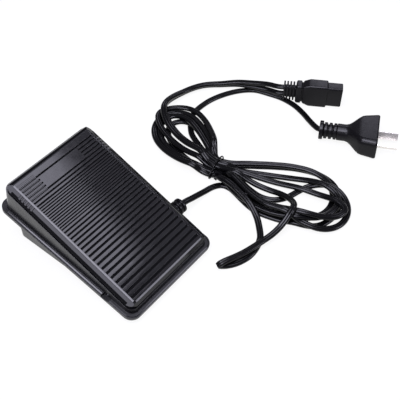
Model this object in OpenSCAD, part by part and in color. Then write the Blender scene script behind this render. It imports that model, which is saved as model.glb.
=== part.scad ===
// Foot pedal of a sewing machine: a ribbed treadle hinged over a tray that holds the speed control.
// Its flat lead is folded into a hank and runs on to a machine connector and a mains plug.

/* [Treadle cover] */
// Width over the lip of the cover
cover_w = 90; // [87:0.5:98]
// Length over the lip of the cover
cover_l = 132; // [129:0.5:142]
// Corner radius of the lip, seen from above
lip_corner_r = 8; // [6:0.5:10]
// Thickness of the lip
lip_t = 3; // [2.4:0.1:3.6]
// How far the lip stands out from the skirt
lip_reach = 3.2; // [2.4:0.1:4]
// Height of the lip's underside at the heel
lip_heel_z = 4; // [3:0.25:4.5]
// Slope of the lip in degrees
lip_slope = 11.7; // [11:0.1:12.4]
// Wall thickness of the skirt
skirt_t = 2; // [1.6:0.1:2.4]
// Height of the shadow groove between the skirt and the bevelled top
shadow_h = 1.4; // [1:0.1:1.8]
// Depth of the shadow groove
shadow_d = 1.2; // [0.8:0.1:1.4]
// Height of the tread plane above the floor at the heel edge of the lip
heel_h = 16.2; // [15.8:0.1:18]
// Slope of the tread in degrees
tread_slope = 20.2; // [19.8:0.1:21]
// How far the toe's top edge lies behind the toe edge of the lip
toe_setback = 11.6; // [10:0.2:13]
// How far the bevel's heel edge lies ahead of the heel edge of the lip
heel_setback = 2.2; // [2:0.1:2.6]
// Width of the bevel along both sides of the tread
bevel_w = 4.2; // [3.4:0.1:5]
// Depth of the bevel below the tread
bevel_d = 3.2; // [2.8:0.1:3.6]
// Width of the bevel along the heel
heel_bevel_w = 2.4; // [1.8:0.1:3]
// Width of the rounded band along the toe
toe_band_w = 6; // [5:0.2:7]
// Radius of the rounded toe
toe_r = 5; // [4:0.25:6]
// Thickness of the roof under the tread
roof_t = 3.2; // [2.8:0.1:3.8]

/* [Tread ribs] */
// Distance from the toe end of the rim to the first rib
rib_start = 1.5; // [1:0.1:2.5]
// Pitch of the wide ribs by the toe
wide_pitch = 2.95; // [2.6:0.05:3.2]
// Number of wide ribs
wide_ribs = 7; // [5:1:8]
// Pitch of the fine ribs in the middle band
fine_pitch = 2; // [1.8:0.05:2.2]
// Number of fine ribs
fine_ribs = 12; // [8:1:13]
// Pitch of the first heel rib
heel_pitch = 2.9; // [2.6:0.05:3.1]
// How much each heel rib is wider than the one before
heel_pitch_step = 0.14; // [0.08:0.01:0.16]
// Number of heel ribs
heel_ribs = 17; // [14:1:17]
// Depth of the grooves between the ribs
rib_depth = 0.9; // [0.6:0.1:1.1]
// Share of the pitch that is groove
groove_share = 0.4; // [0.3:0.05:0.5]
// Width of the plain bead that frames the ribs
bead_w = 1.3; // [1:0.1:2]
// Ribs that run out over the bevel as teeth
tooth_ribs = 5; // [3:1:5]
// Width of the bare plate among the wide ribs
plate_w = 38; // [30:1:44]
// Length of the bare plate along the tread
plate_l = 7.4; // [6:0.2:9]
// Distance from the toe end of the rim to the bare plate
plate_start = 6.2; // [5:0.1:8]

/* [Base tray] */
// Running gap between the tray and the skirt on each side
base_gap = 1; // [0.8:0.1:1.2]
// Wall thickness of the tray
base_t = 2.2; // [1.8:0.1:2.6]
// Thickness of the tray's floor
floor_t = 2.2; // [1.8:0.1:2.8]
// Corner radius of the tray
base_corner_r = 6; // [4.5:0.5:8]
// How far the tray's toe wall lies behind the toe edge of the lip
base_toe_inset = 8.6; // [8:0.1:9.4]
// How far the tray's heel wall lies ahead of the heel edge of the lip
base_heel_inset = 6.6; // [6.4:0.1:8]
// How far the tray's walls reach up past the lip's underside
wall_overlap = 6; // [5.7:0.1:6.3]
// Height of the rubber feet
foot_h = 2; // [1.6:0.1:2.4]
// Diameter of the rubber feet
foot_d = 12; // [9:0.5:14]
// Distance of the feet from the tray's sides and ends
foot_inset = 10; // [8.5:0.5:12]

/* [Hinge] */
// Distance of the hinge from the heel edge of the lip
hinge_inset = 26; // [25:0.25:27]
// Height of the hinge above the floor
hinge_z = 14; // [13.8:0.1:14.4]
// Radius of the hinge pin
hinge_r = 2; // [1.7:0.05:2.2]
// Running clearance of the cover on the hinge pin
hinge_clearance = 0.05; // [0.03:0.01:0.08]
// Thickness of the hinge ears inside the tray
ear_t = 6; // [4:0.5:8]
// Full travel of the treadle in degrees
press_angle = 7; // [6:0.25:7]
// Length of the notch in the lip below each hinge end
notch_l = 6.8; // [5:0.2:8]

/* [Speed control] */
// Distance of the board's heel edge behind the strain relief's axis
board_behind = 1.2; // [0.8:0.1:2]
// Gap between the board's side and the end of the lead
board_side_gap = 2.8; // [2.4:0.1:3.4]
// Thickness of the circuit board
board_t = 1.6; // [1.2:0.2:2]
// Height of the posts under the circuit board
board_lift = 3.8; // [3.4:0.1:4]
// Distance of the board's toe edge from the tray's toe wall
board_inset = 13.4; // [12:0.2:14]
// Length of the slide potentiometer
pot_l = 34; // [32:0.5:36]
// Width of the slide potentiometer
pot_w = 8; // [7:0.25:8.4]
// Height of the slide potentiometer
pot_h = 7; // [6:0.25:7.4]
// Travel of the slider over the full press
pot_travel = 10; // [9:0.25:10.5]
// Height of the follower pin above the circuit board
follower_lift = 13; // [12.6:0.1:13.6]
// Radius of the follower pin
follower_r = 1.5; // [1.2:0.05:1.7]
// Clearance of moving pieces that pass each other
free_gap = 0.3; // [0.25:0.05:0.4]
// Thickness of the cam arm
arm_t = 3; // [2.4:0.1:3.4]
// Width of the cam arm's rim around its slot
arm_rim = 2.6; // [2.2:0.1:2.8]

/* [Return springs] */
// Distance of each spring from the middle
spring_x = 27.4; // [27:0.1:29]
// Distance of the springs from the tray's toe wall
spring_inset = 11.4; // [11:0.1:13]
// Outer diameter of the springs
spring_d = 10; // [9:0.25:10.4]
// Diameter of the spring wire
spring_wire = 1.2; // [1:0.1:1.4]
// Length of the springs at rest
spring_l = 26; // [25:0.5:29]
// Number of turns
spring_turns = 8; // [6:0.5:9]
// Height of the spring posts above the tray's floor
spring_post_h = 9; // [8:0.5:10]

/* [Lead and strain relief] */
// Width of the flat twin lead
cord_w = 5.3; // [4.8:0.1:5.4]
// Thickness of the flat twin lead
cord_t = 3.3; // [3:0.1:3.4]
// Distance of the strain relief ahead of the hinge
gland_ahead = 15.2; // [15:0.2:17]
// Height of the strain relief's axis above the floor
gland_z = 10; // [9.8:0.1:10.4]
// Radius of the strain relief's rings
gland_r = 6.5; // [6:0.1:6.6]
// Length of the strain relief outside the tray
gland_l = 17; // [16:0.5:19.4]
// Number of rings on the strain relief
gland_rings = 4; // [3:1:5]
// Clearance of the cover's arch over the strain relief
arch_gap = 2.6; // [2.4:0.1:3]

/* [Machine connector] */
// Height of the connector's body
conn_h = 23; // [21:0.5:24]
// Thickness of the connector's body
conn_w = 12; // [11:0.25:13]
// Length of the connector's body
conn_body_l = 20; // [17:0.5:23]
// Height of the connector's nose
nose_h = 20.5; // [18:0.5:21]
// Thickness of the connector's nose
nose_w = 10; // [9:0.25:10.5]
// Length of the connector's nose
nose_l = 13; // [11:0.5:15]
// Radius of the sockets in the nose
socket_r = 1.6; // [1.4:0.05:1.8]
// Distance between the sockets
socket_pitch = 5.6; // [5.2:0.1:6]
// Depth of the open sockets
socket_depth = 9; // [8:0.5:11]

/* [Mains plug] */
// Width of the plug's face
plug_w = 39; // [36:0.5:41]
// Height of the plug's face
plug_h = 20; // [18:0.5:21]
// Length of the plug from its tail to its face
plug_l = 49; // [46:0.5:52]
// Length of the blades
blade_l = 17; // [16:0.5:18]
// Width of the blades
blade_w = 6.35; // [6:0.05:6.6]
// Thickness of the blades
blade_t = 1.6; // [1.5:0.05:1.8]
// Distance between the middles of the blades
blade_pitch = 13.7; // [13:0.1:14]

/* [Hidden] */
$fn = 48;
hull_fn = 32;
corner_steps = 5;
over = 1;
cover_col = "#1d1d20";
rubber_col = "#18181a";
steel_col = "#b9bcc0";

// Lip: its tilted plate keeps the full length of the cover, corner to corner
lip_foot_y = -cover_l / 2 + lip_t * sin(lip_slope);
lip_run = (cover_l - lip_t * sin(lip_slope)) / cos(lip_slope);

// Tread: distances along its slope, measured from the heel edge of the lip
edge_heel_s = heel_setback / cos(tread_slope);
edge_toe_s = (cover_l - toe_setback) / cos(tread_slope);
rim_heel_s = edge_heel_s + heel_bevel_w;
rim_toe_s = edge_toe_s - toe_band_w;
skirt_w = cover_w - 2 * lip_reach;
edge_step = 0.8;
edge_w = skirt_w - 2 * edge_step;
edge_t = 0.4;
rim_w = edge_w - 2 * bevel_w;
rim_corner_r = 4;
edge_corner_r = rim_corner_r + heel_bevel_w;
skirt_corner_r = lip_corner_r - lip_reach / 2;
shadow_top = bevel_d + edge_t;
skirt_top_d = shadow_top + shadow_h;
ledge_t = 1.2;
neck_w = edge_w - 2 * shadow_d;
inner_w = skirt_w - 2 * skirt_t;
inner_corner_r = skirt_corner_r - skirt_t;
skirt_heel_y = -cover_l / 2 + lip_reach;
skirt_toe_y = cover_l / 2 - lip_reach;

// Ribs: how far each groove lies from the toe end of the rim, and how wide it is
wide_end = rib_start + wide_ribs * wide_pitch;
fine_end = wide_end + fine_ribs * fine_pitch;
function heel_rib_at(i) = fine_end + i * heel_pitch + heel_pitch_step * i * (i - 1) / 2;
groove_middle = 1 - groove_share / 2;
grooves = concat(
    [for (i = [0:wide_ribs - 1]) [rib_start + (i + groove_middle) * wide_pitch, wide_pitch]],
    [for (i = [0:fine_ribs - 1]) [wide_end + (i + groove_middle) * fine_pitch, fine_pitch]],
    [for (i = [0:heel_ribs - 1])
        let (p = heel_pitch + heel_pitch_step * i) [heel_rib_at(i) + groove_middle * p, p]]);
groove_taper = 0.7;
tooth_reach = bevel_w;
tooth_lift = 0.3;
seam_w = 0.8;
seam_gap = 0.04;

// Tray
base_w = inner_w - 2 * base_gap;
base_toe_y = cover_l / 2 - base_toe_inset;
base_heel_y = -cover_l / 2 + base_heel_inset;
floor_z = foot_h + floor_t;
inside_x = base_w / 2 - base_t;
foot_stud_r = foot_d / 6;
foot_stud_h = floor_t + 1;
foot_x = base_w / 2 - foot_inset;
foot_ys = [base_heel_y + foot_inset, base_toe_y - foot_inset];

// Hinge
hinge_y = -cover_l / 2 + hinge_inset;
ear_r = hinge_r + 2.4;
pin_sink = 0.7;
pin_l = skirt_w - 2 * pin_sink;
notch_d = 1.1;
pin_seat = 0.02;

// Catch that stops the treadle's way up
catch_w = 24;
lug_w = 16;
lug_h = 2.2;
lug_reach = 1.5;
lug_top = lip_heel_z + wall_overlap + (base_toe_y + cover_l / 2) * tan(lip_slope);
catch_inside = base_toe_y + 0.6;

// Strain relief, clamp and the lead's end inside the tray
gland_y = hinge_y + gland_ahead;
gland_neck_r = gland_r - 2;
gland_flange_r = gland_z - floor_z - free_gap;
gland_end_x = base_w / 2 + gland_l;
cord_gap = 0.1;
clamp_x = inside_x - 9.4;
clamp_z = gland_z + cord_t / 2;
clamp_reach = 8.5;
clamp_post_r = 3.2;
clamp_t = 3;
clamp_w = 6.4;
core_r = 0.9;
tail_end_x = clamp_x - clamp_w / 2 - 0.2;

// Speed control
board_toe_y = base_toe_y - board_inset;
board_heel_y = gland_y - board_behind;
board_w = 2 * (tail_end_x - board_side_gap);
board_z = floor_z + board_lift;
board_top = board_z + board_t;
pot_inset = 2;
pot_y = board_toe_y - pot_l / 2 - pot_inset;
follower_y = pot_y - pot_travel / 2;
follower_z = board_top + follower_lift;
arm_x = pot_w / 2 + 0.6;
slot_r = follower_r + free_gap;
arm_r = slot_r + arm_rim;
arm_boss_h = 5;
arm_boss_r = 3.2;
flange_t = 2.4;
flange_w = 13;
screw_r = 1.4;
screw_hole = 1.6;
pilot_r = 1.35;
head_r = 2.7;
head_h = 1.8;
driver_slot = 0.7;
board_screw_inset = 3.4;
board_corner_r = 1.5;
board_screw_x = board_w / 2 - board_screw_inset;
board_screw_ys = [board_heel_y + board_screw_inset, board_toe_y - board_screw_inset];

// Cam arm, from the follower's path to its flange under the roof
arm_low = cam_point(0);
arm_high = cam_point(1);
flange_d = roof_t + arm_boss_h;
flange_y0 = arm_low[0] - arm_r;
flange_y1 = arm_high[0] + arm_r + 4;
flange_s0 = tread_s(flange_y0, flange_d);
flange_s1 = tread_s(flange_y1, flange_d);
arm_screw_x = arm_x + arm_t + 5;
arm_screw_s = [flange_s0 + 4.5, flange_s1 - 4.5];

// Pieces on the circuit board
slider_w = 3;
slider_l = 6;
slider_sunk = 4;
part_gap = 0.6;
cap_w = 11;
cap_l = 24;
cap_h = 14;
cap_gap = 1.5;
cap_ahead = 6;
cap_x = -pot_w / 2 - cap_gap - cap_w / 2;
cap_y = board_heel_y + cap_ahead + cap_l / 2;
sink_l = 19.6;
sink_h = 21;
sink_t = 2;
sink_fin = 5;
sink_fin_t = 1.6;
sink_y = cap_y + cap_l / 2 + part_gap + sink_l / 2;
triac_w = 10.2;
triac_t = 4.5;
triac_tab_t = 1.3;
triac_body_h = 9.4;
triac_tab_h = 6.2;
triac_lift = 4;
triac_leg = 0.8;
triac_leg_pitch = 2.54;
triac_gap = 3.5;
triac_x = -pot_w / 2 - triac_gap - triac_t;
triac_leg_x = triac_x + (triac_t - triac_leg) / 2;
triac_tab_z = board_top + triac_lift + triac_body_h;
sink_x = triac_x - sink_t - sink_fin;
choke_r = 6;
choke_h = 14;
choke_core_r = 3.2;
choke_flange = 1.6;
choke_x = arm_x + arm_t + part_gap + choke_r;
choke_ahead = 29;
choke_y = board_heel_y + choke_ahead;
resistor_pitch = 4.2;
resistor_gap = 2.6;
resistor_x = arm_x + arm_t + resistor_gap;
resistor_ahead = 44;
resistor_y = board_heel_y + resistor_ahead;

// Return springs
spring_y = base_toe_y - spring_inset;
spring_z = floor_z + spring_post_h;
spring_post_r = spring_d / 2 + 0.8;
spring_stub_r = spring_d / 2 - spring_wire - 0.6;

// Terminal block
term_l = 11;
term_w = 8;
term_h = 10;
term_ahead = 11;
term_inset = 6;
term_y = board_heel_y + term_ahead;
term_x = board_w / 2 - term_inset;
term_pitch = 5;
term_wire_z = board_top + 3.6;
term_hole_l = 5;
term_screw_y = term_y + 4;
term_screw_r = 1.9;
term_screw_d = 4;
term_screw_h = 2.6;

// Connector, lying on its narrow edge beyond the hank
conn_rear = [215.8, -9.9];
conn_turn = -59;
comb_l = 11;
comb_h = 16;
comb_w = 9.4;
comb_rise = 0.3;
comb_ribs = 4;
collar_l = 7.7;
collar_w = 10.8;
collar_h = 19;
collar_groove = 1;
shoulder_l = 4.5;
conn_corner = 2;
conn_edge = 0.7;
conn_body_x = comb_l + collar_l;
conn_nose_x = conn_body_x + conn_body_l;
conn_front_x = conn_nose_x + nose_l;
contact_l = 6;
contact_r = socket_r - 0.4;
lead_stack = 7;

// Plug, lying on the rim of its face and on the ring at its tail
plug_spot = [196.3, -61.1];
plug_turn = -64;
plug_core_r = 5.4;
plug_neck_r = 7.2;
plug_ring_r = plug_neck_r + 0.8;
plug_ring_pitch = 4;
plug_ring_l = 2.7;
plug_end_l = 3.2;
plug_rings = 4;
plug_rim_l = 1.2;
plug_lean = atan((plug_l - plug_rim_l) / (plug_h / 2 - plug_ring_r));
plug_tail = [plug_spot[0], plug_spot[1], plug_ring_r * sin(plug_lean) + cord_gap];
plug_axis = [sin(plug_lean) * cos(plug_turn), sin(plug_lean) * sin(plug_turn), cos(plug_lean)];
blade_splay = 30;
blade_drop = 4;
blade_seat = 5;
blade_gap = 0.05;
flare_steps = 6;

// Lead routes: middle line of the lead, round numbers chosen by hand
floor_lead = 1.8;
pedal_route = [
    [62, -25.1, 9.2], [66.4, -25.6, 7.8], [74.9, -26, 5.2], [83, -26.6, 2.8], [89.4, -27.5, floor_lead],
    [94.7, -29.9, floor_lead], [98, -33.5, floor_lead], [100, -40, floor_lead], [102.5, -46, floor_lead]];
loop_route = [
    [103, -24, 6], [98.5, -31, 5.6], [97, -39, 5.6], [95.5, -48, 5.4], [93.5, -58, 4.6], [90.5, -67, 3],
    [86, -75.5, floor_lead], [80, -82.5, floor_lead], [73, -88.5, floor_lead], [64, -91.5, floor_lead],
    [54, -92, floor_lead], [44, -89, floor_lead], [37, -84.5, floor_lead], [33.5, -81.6, 2.3],
    [31.8, -80.2, 4.6], [33.5, -81, 6.9], [38, -82.6, 7.2], [46, -85, 6.6], [54, -87.5, 6], [62, -90, 5.7],
    [70, -92.5, 5.5], [79, -95, 5], [88, -96.5, 3.4], [96, -97, 2.2], [104, -96, 2.4]];
connector_route_a = [
    [121, 46, 9], [130.5, 58, 8.5], [141, 63, 7], [155, 64, 5.4], [169.5, 61, 5.4], [183, 54, 5.4],
    [194.5, 42, 5.6], [201.5, 31.5, 8.2], [207, 19, 10.4], [212, 5, 13]];
connector_route_b = [
    [124, 46, 6], [132.5, 59.5, 4.6], [143, 65, 3], [157, 66, floor_lead], [171.7, 63, floor_lead],
    [185, 56, floor_lead], [196, 44, floor_lead], [202.5, 32, 4.6], [207.5, 19, 6], [212, 5, 6.8]];
plug_route = [
    [137, 33, 7], [143, 37.5, 5.8], [151, 40, 3.4], [161, 40.5, floor_lead], [173, 39, floor_lead],
    [187, 34, floor_lead], [200, 26, floor_lead], [209, 16, floor_lead], [213, 3, floor_lead],
    [215.5, -10, floor_lead], [214.5, -24, floor_lead], [209.5, -37, floor_lead], [203.5, -45.5, 3],
    [197.5, -51.5, 5.6]];
cord_sides = 10;

// Hank: two lobes that meet at a tied waist
waist = [109.5, -18];
waist_r = 8;
top_lobe = [124, 34];
top_lobe_r = 26.5;
low_lobe = [128, -103];
low_lobe_r = 27.5;
hank_h = 11;
tie_w = 2;
tie_t = 1;
tie_half = 12.4;
tie_spot = waist + [1.5, 0];
tie_turn = 10;

// Height of a plane that lies a depth below the tread
function tread_z(y, depth) = heel_h + (y + cover_l / 2) * tan(tread_slope) - depth / cos(tread_slope);

// Place along the tread's slope of a point at a depth below it
function tread_s(y, depth) = (y + cover_l / 2 - depth * sin(tread_slope)) / cos(tread_slope);

// Point of the side view at a place along the tread's slope and a depth below it
function tread_point(s, depth) = [
    -cover_l / 2 + s * cos(tread_slope) + depth * sin(tread_slope),
    heel_h + s * sin(tread_slope) - depth * cos(tread_slope)];

// Height of the lip's underside
function lip_z(y) = lip_heel_z + (y - lip_foot_y) * tan(lip_slope);

// Path of the follower pin in the cover, from rest to the full press
function cam_point(t) =
    let (a = press_angle * t, y = follower_y + pot_travel * t - hinge_y, z = follower_z - hinge_z)
    [hinge_y + y * cos(a) - z * sin(a), hinge_z + y * sin(a) + z * cos(a)];

function unit(v) = v / norm(v);
function ring_tangent(path, i) = unit(path[min(i + 1, len(path) - 1)] - path[max(i - 1, 0)]);

// Level direction across a path at each of its points, carried on where the path stands upright
function across_path(path, i = 0, before = [0, 0, 0]) = i == len(path) ? [] :
    let (t = ring_tangent(path, i), level = cross(t, [0, 0, 1]), turned = before * level < 0 ? -1 : 1,
        side = norm(level) > 0.5 ? unit(level) * turned : unit(before - t * (before * t)))
    concat([side], across_path(path, i + 1, side));

// Rings of a swept tube that keeps its wide side level
function sweep_rings(path, w, h, sides) =
    let (across = across_path(path)) [
        for (i = [0:len(path) - 1])
            let (side = across[i], up = cross(side, ring_tangent(path, i)))
            for (k = [0:sides - 1])
                path[i] + side * w / 2 * cos(360 * k / sides) + up * h / 2 * sin(360 * k / sides)];

module sweep(path, w, h, sides) {
    last = (len(path) - 1) * sides;
    polyhedron(sweep_rings(path, w, h, sides), concat(
        [[for (k = [0:sides - 1]) k]],
        [[for (k = [sides - 1:-1:0]) last + k]],
        [for (i = [0:len(path) - 2]) for (k = [0:sides - 1])
            let (a = i * sides + k, b = i * sides + (k + 1) % sides) [a, a + sides, b + sides, b]]));
}

// Ring of a loft: a rounded rectangle at a height
function round_ring(z, w, h, r) = [for (q = [0:3], k = [0:corner_steps])
    let (a = 90 * q + 90 * k / corner_steps,
        x = q == 0 || q == 3 ? w / 2 - r : r - w / 2,
        y = q < 2 ? h / 2 - r : r - h / 2)
    [x + r * cos(a), y + r * sin(a), z]];

// Solid through rounded rectangles, each given as [height, width, depth, corner radius]
module loft(rings) {
    n = 4 * (corner_steps + 1);
    last = (len(rings) - 1) * n;
    polyhedron([for (g = rings) each round_ring(g[0], g[1], g[2], g[3])], concat(
        [[for (k = [0:n - 1]) k]],
        [[for (k = [n - 1:-1:0]) last + k]],
        [for (i = [0:len(rings) - 2], k = [0:n - 1])
            let (a = i * n + k, b = i * n + (k + 1) % n) each [[a, a + n, b + n], [a, b + n, b]]]));
}

module on_tread() {
    translate([0, -cover_l / 2, heel_h]) rotate([tread_slope, 0, 0]) children();
}

module on_lip() {
    translate([0, lip_foot_y, lip_heel_z]) rotate([lip_slope, 0, 0]) children();
}

// Rounded rectangle that is centred in x and runs from one y to another
module outline(w, y0, y1, r) {
    translate([-w / 2 + r, y0]) square([w - 2 * r, y1 - y0]);
    translate([-w / 2, y0 + r]) square([w, y1 - y0 - 2 * r]);
    for (x = [-w / 2 + r, w / 2 - r], y = [y0 + r, y1 - r]) translate([x, y]) circle(r);
}

// Plate of a side view: its drawing's axes are the part's y and z
module side_plate(x0, x1) {
    translate([x0, 0, 0]) rotate([90, 0, 90]) linear_extrude(x1 - x0) children();
}

// Pan-head screw with its head below and its point up
module screw(l) {
    translate([0, 0, -head_h]) cylinder(h = head_h, r = head_r);
    translate([0, 0, -over / 2]) cylinder(h = l + over / 2, r = screw_r);
}

// Sloped top with its bevels and its rounded toe: a side view, a cross-section and a plan that meet
module tread_slab() {
    on_tread() intersection() {
        side_plate(-cover_w / 2, cover_w / 2) {
            polygon([[edge_heel_s, -shadow_top], [edge_heel_s, -bevel_d], [rim_heel_s, 0], [edge_toe_s - toe_r, 0],
                [edge_toe_s - toe_r, -shadow_top]]);
            intersection() {
                translate([edge_toe_s - toe_r, -toe_r]) circle(toe_r);
                translate([edge_toe_s - toe_r - over, -shadow_top]) square([toe_r + 2 * over, shadow_top + over]);
            }
        }
        translate([0, cover_l * 2, 0]) rotate([90, 0, 0]) linear_extrude(cover_l * 3) polygon([
            [-rim_w / 2, 0], [-edge_w / 2, -bevel_d], [-edge_w / 2, -shadow_top - over],
            [edge_w / 2, -shadow_top - over], [edge_w / 2, -bevel_d], [rim_w / 2, 0]]);
        translate([0, 0, -shadow_top - over]) linear_extrude(shadow_top + 2 * over)
            outline(edge_w, edge_heel_s, edge_toe_s, edge_corner_r);
    }
}

// Wedge between the lip and the tread: upright rounded heel, rounded toe that leans back
module wedge(w, inset, low, depth, r) {
    toe_top = tread_point(edge_toe_s + edge_step, skirt_top_d);
    toe_foot = [skirt_toe_y, lip_z(skirt_toe_y)];
    lean = atan2(toe_foot[0] - toe_top[0], toe_top[1] - toe_foot[1]);
    far = cover_l / 2 + 2 * over;
    intersection() {
        side_plate(-cover_w / 2, cover_w / 2) polygon([
            [-far, lip_z(-far) + low], [far, lip_z(far) + low],
            [far, tread_z(far, depth)], [-far, tread_z(-far, depth)]]);
        linear_extrude(cover_l) outline(w, skirt_heel_y + inset, far, r);
        translate([0, toe_foot[0] - inset / cos(lean), toe_foot[1]]) rotate([lean, 0, 0])
            translate([0, 0, -cover_l]) linear_extrude(2 * cover_l) outline(w + seam_gap, -2 * cover_l, 0, r);
    }
}

module cover_outside() {
    tread_slab();
    on_tread() translate([0, 0, -skirt_top_d - ledge_t]) linear_extrude(shadow_h + ledge_t + edge_t / 2)
        outline(neck_w, edge_heel_s + shadow_d, edge_toe_s - shadow_d, edge_corner_r - shadow_d);
    wedge(skirt_w, 0, lip_t / 2, skirt_top_d, skirt_corner_r);
    on_lip() linear_extrude(lip_t) outline(cover_w, 0, lip_run, lip_corner_r);
}

module cover_inside() {
    wedge(inner_w, skirt_t, -2 * over, skirt_top_d + ledge_t, inner_corner_r);
    on_tread() translate([0, 0, -skirt_top_d - ledge_t - over])
        linear_extrude(skirt_top_d + ledge_t + over - roof_t)
            outline(neck_w - 2 * skirt_t, edge_heel_s + shadow_d + skirt_t, edge_toe_s - shadow_d - skirt_t,
                inner_corner_r);
}

// Cross-sections of the grooves, drawn along the slope with the toe end of the rim at zero
module groove_sections() {
    for (g = grooves) {
        half = g[1] * groove_share / 2;
        polygon([[rim_toe_s - g[0] - half, over], [rim_toe_s - g[0] - half, 0],
            [rim_toe_s - g[0] - half * groove_taper, -rib_depth],
            [rim_toe_s - g[0] + half * groove_taper, -rib_depth],
            [rim_toe_s - g[0] + half, 0], [rim_toe_s - g[0] + half, over]]);
    }
}

module rib_grooves() {
    ribbed_w = rim_w - 2 * bead_w;
    on_tread() difference() {
        side_plate(-ribbed_w / 2, ribbed_w / 2) groove_sections();
        translate([-plate_w / 2, rim_toe_s - plate_start - plate_l, -2 * over]) cube([plate_w, plate_l, 4 * over]);
    }
}

// Thin dark seam between the bead and the bevel, along the sides
module bevel_seam() {
    seam_x = rim_w / 2 + seam_w / 2;
    seam_l = rim_toe_s - rim_heel_s;
    on_tread() {
        for (x = [-seam_x, seam_x]) translate([x, rim_heel_s, -seam_w / 2]) rotate([0, 45, 0])
            translate([-seam_w / 2, 0, 0]) cube([seam_w, seam_l, seam_w]);
    }
}

// Ends of the wide ribs that run on down the bevel as low teeth
module rib_teeth() {
    tooth_l = wide_pitch * (1 - groove_share);
    down = unit([bevel_w, -bevel_d]);
    out = [-down[1], down[0]];
    start = [rim_w / 2, 0];
    on_tread() for (i = [wide_ribs - tooth_ribs:wide_ribs - 1], side = [0, 1]) mirror([side, 0, 0])
        translate([0, rim_toe_s - rib_start - i * wide_pitch, 0]) rotate([90, 0, 0]) linear_extrude(tooth_l)
            polygon([start + out * tooth_lift, start + down * tooth_reach + out * tooth_lift,
                start + down * tooth_reach - out * over, start - out * over]);
}

module cover_bosses() {
    intersection() {
        for (x = [-spring_x, spring_x]) translate([x, spring_y, spring_z + spring_l + free_gap]) {
            cylinder(h = cover_l, r = spring_post_r);
            translate([0, 0, -over * 2]) cylinder(h = over * 3, r = spring_stub_r);
        }
        on_tread() translate([-cover_w / 2, 0, -cover_l - roof_t / 2]) cube([cover_w, 2 * cover_l, cover_l]);
    }
    on_tread() for (s = arm_screw_s) translate([arm_screw_x, s, -roof_t - arm_boss_h])
        cylinder(h = arm_boss_h + roof_t / 2, r = arm_boss_r);
}

module toe_catch() {
    catch_top = lug_top - lug_h - free_gap;
    side_plate(-catch_w / 2, catch_w / 2) polygon([
        [catch_inside, lip_z(catch_inside)], [skirt_toe_y, lip_z(skirt_toe_y)],
        [skirt_toe_y, catch_top], [catch_inside, catch_top]]);
}

module treadle_cover() {
    color(cover_col) difference() {
        union() {
            difference() {
                cover_outside();
                cover_inside();
            }
            cover_bosses();
            rib_teeth();
            toe_catch();
        }
        rib_grooves();
        bevel_seam();
        translate([-cover_w, hinge_y, hinge_z]) rotate([0, 90, 0])
            cylinder(h = 2 * cover_w, r = hinge_r + hinge_clearance);
        for (side = [-1, 1])
            translate([side * cover_w / 2 - lip_reach, hinge_y - notch_l / 2, lip_z(hinge_y) + lip_t - notch_d])
                cube([2 * lip_reach, notch_l, notch_d + over]);
        translate([inside_x, gland_y, gland_z]) rotate([0, 90, 0]) cylinder(h = cover_w, r = gland_r + arch_gap);
        on_tread() for (s = arm_screw_s) translate([arm_screw_x, s, -flange_d - over])
            cylinder(h = arm_boss_h + over, r = pilot_r);
    }
}

module base_walls() {
    difference() {
        intersection() {
            translate([0, 0, foot_h]) linear_extrude(cover_l) outline(base_w, base_heel_y, base_toe_y, base_corner_r);
            side_plate(-base_w, base_w) polygon([
                [base_heel_y - over, foot_h], [base_toe_y + over, foot_h],
                [base_toe_y + over, lug_top + over * tan(lip_slope)],
                [base_heel_y - over, lug_top - (base_toe_y - base_heel_y + over) * tan(lip_slope)]]);
        }
        translate([0, 0, floor_z]) linear_extrude(cover_l)
            outline(base_w - 2 * base_t, base_heel_y + base_t, base_toe_y - base_t, base_corner_r - base_t);
    }
}

module hinge_ears() {
    for (x = [-base_w / 2, base_w / 2 - ear_t]) {
        translate([x, hinge_y, hinge_z]) rotate([0, 90, 0]) cylinder(h = ear_t, r = ear_r);
        translate([x, hinge_y - ear_r, floor_z - over]) cube([ear_t, 2 * ear_r, hinge_z - floor_z + over]);
    }
}

module base_posts() {
    for (x = [-spring_x, spring_x]) translate([x, spring_y, floor_z - over]) {
        cylinder(h = spring_post_h + over, r = spring_post_r);
        cylinder(h = spring_post_h + over + 4, r = spring_stub_r);
    }
    for (x = [-board_screw_x, board_screw_x], y = board_screw_ys) translate([x, y, floor_z - over])
        cylinder(h = board_lift + over, r = head_r + 0.4);
    for (y = [-clamp_reach, clamp_reach]) translate([clamp_x, gland_y + y, floor_z - over])
        cylinder(h = clamp_z - floor_z + over, r = clamp_post_r);
}

module base_housing() {
    color(cover_col) difference() {
        union() {
            base_walls();
            hinge_ears();
            base_posts();
            translate([-lug_w / 2, base_toe_y - base_t / 2, lug_top - lug_h])
                cube([lug_w, base_t / 2 + lug_reach, lug_h]);
        }
        translate([-base_w, hinge_y, hinge_z]) rotate([0, 90, 0]) cylinder(h = 2 * base_w, r = hinge_r + pin_seat);
        for (x = [-foot_x, foot_x], y = foot_ys) translate([x, y, 0])
            cylinder(h = foot_h + floor_t + over, r = foot_stud_r);
        translate([inside_x - over, gland_y, gland_z]) rotate([0, 90, 0])
            cylinder(h = base_t + 2 * over, r = gland_neck_r + pin_seat);
        for (x = [-board_screw_x, board_screw_x], y = board_screw_ys) translate([x, y, floor_z])
            cylinder(h = board_lift + over, r = pilot_r);
        for (y = [-clamp_reach, clamp_reach]) translate([clamp_x, gland_y + y, floor_z])
            cylinder(h = clamp_z - floor_z + over, r = pilot_r);
    }
}

module rubber_feet() {
    color(rubber_col) for (x = [-foot_x, foot_x], y = foot_ys) translate([x, y, 0]) {
        cylinder(h = foot_h, r = foot_d / 2);
        cylinder(h = foot_h + foot_stud_h, r = foot_stud_r - pin_seat);
    }
}

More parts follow.
